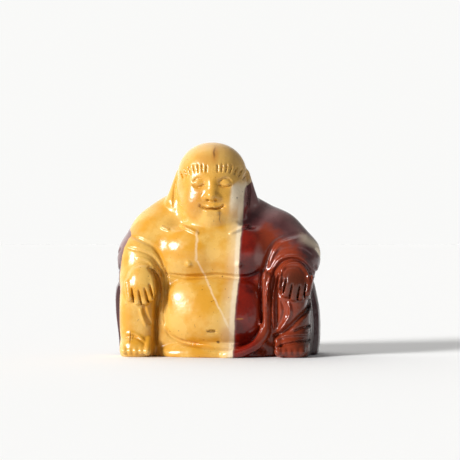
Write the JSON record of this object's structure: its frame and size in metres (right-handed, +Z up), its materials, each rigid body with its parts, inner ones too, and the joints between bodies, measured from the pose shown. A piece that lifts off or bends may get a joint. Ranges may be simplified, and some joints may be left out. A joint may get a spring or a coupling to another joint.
{
  "type": "budai figure",
  "caption": "Small seated laughing monk figure carved in polished banded stone, hands on raised knees, robe open over chest and belly, flat underside.",
  "frame": {"origin": "Centre of the figure's outline in plan, on its sawn flat underside.", "axes": "+Z is up through the head, the figure faces -Y, and +X is to the viewer's right, on the side of the figure's left hand."},
  "size_m": [0.0488, 0.0272, 0.05],
  "materials": {
    "banded_stone": "polished"
  },
  "bodies": {
    "root": {"budai_figure": "banded_stone"}
  },
  "joints": []
}
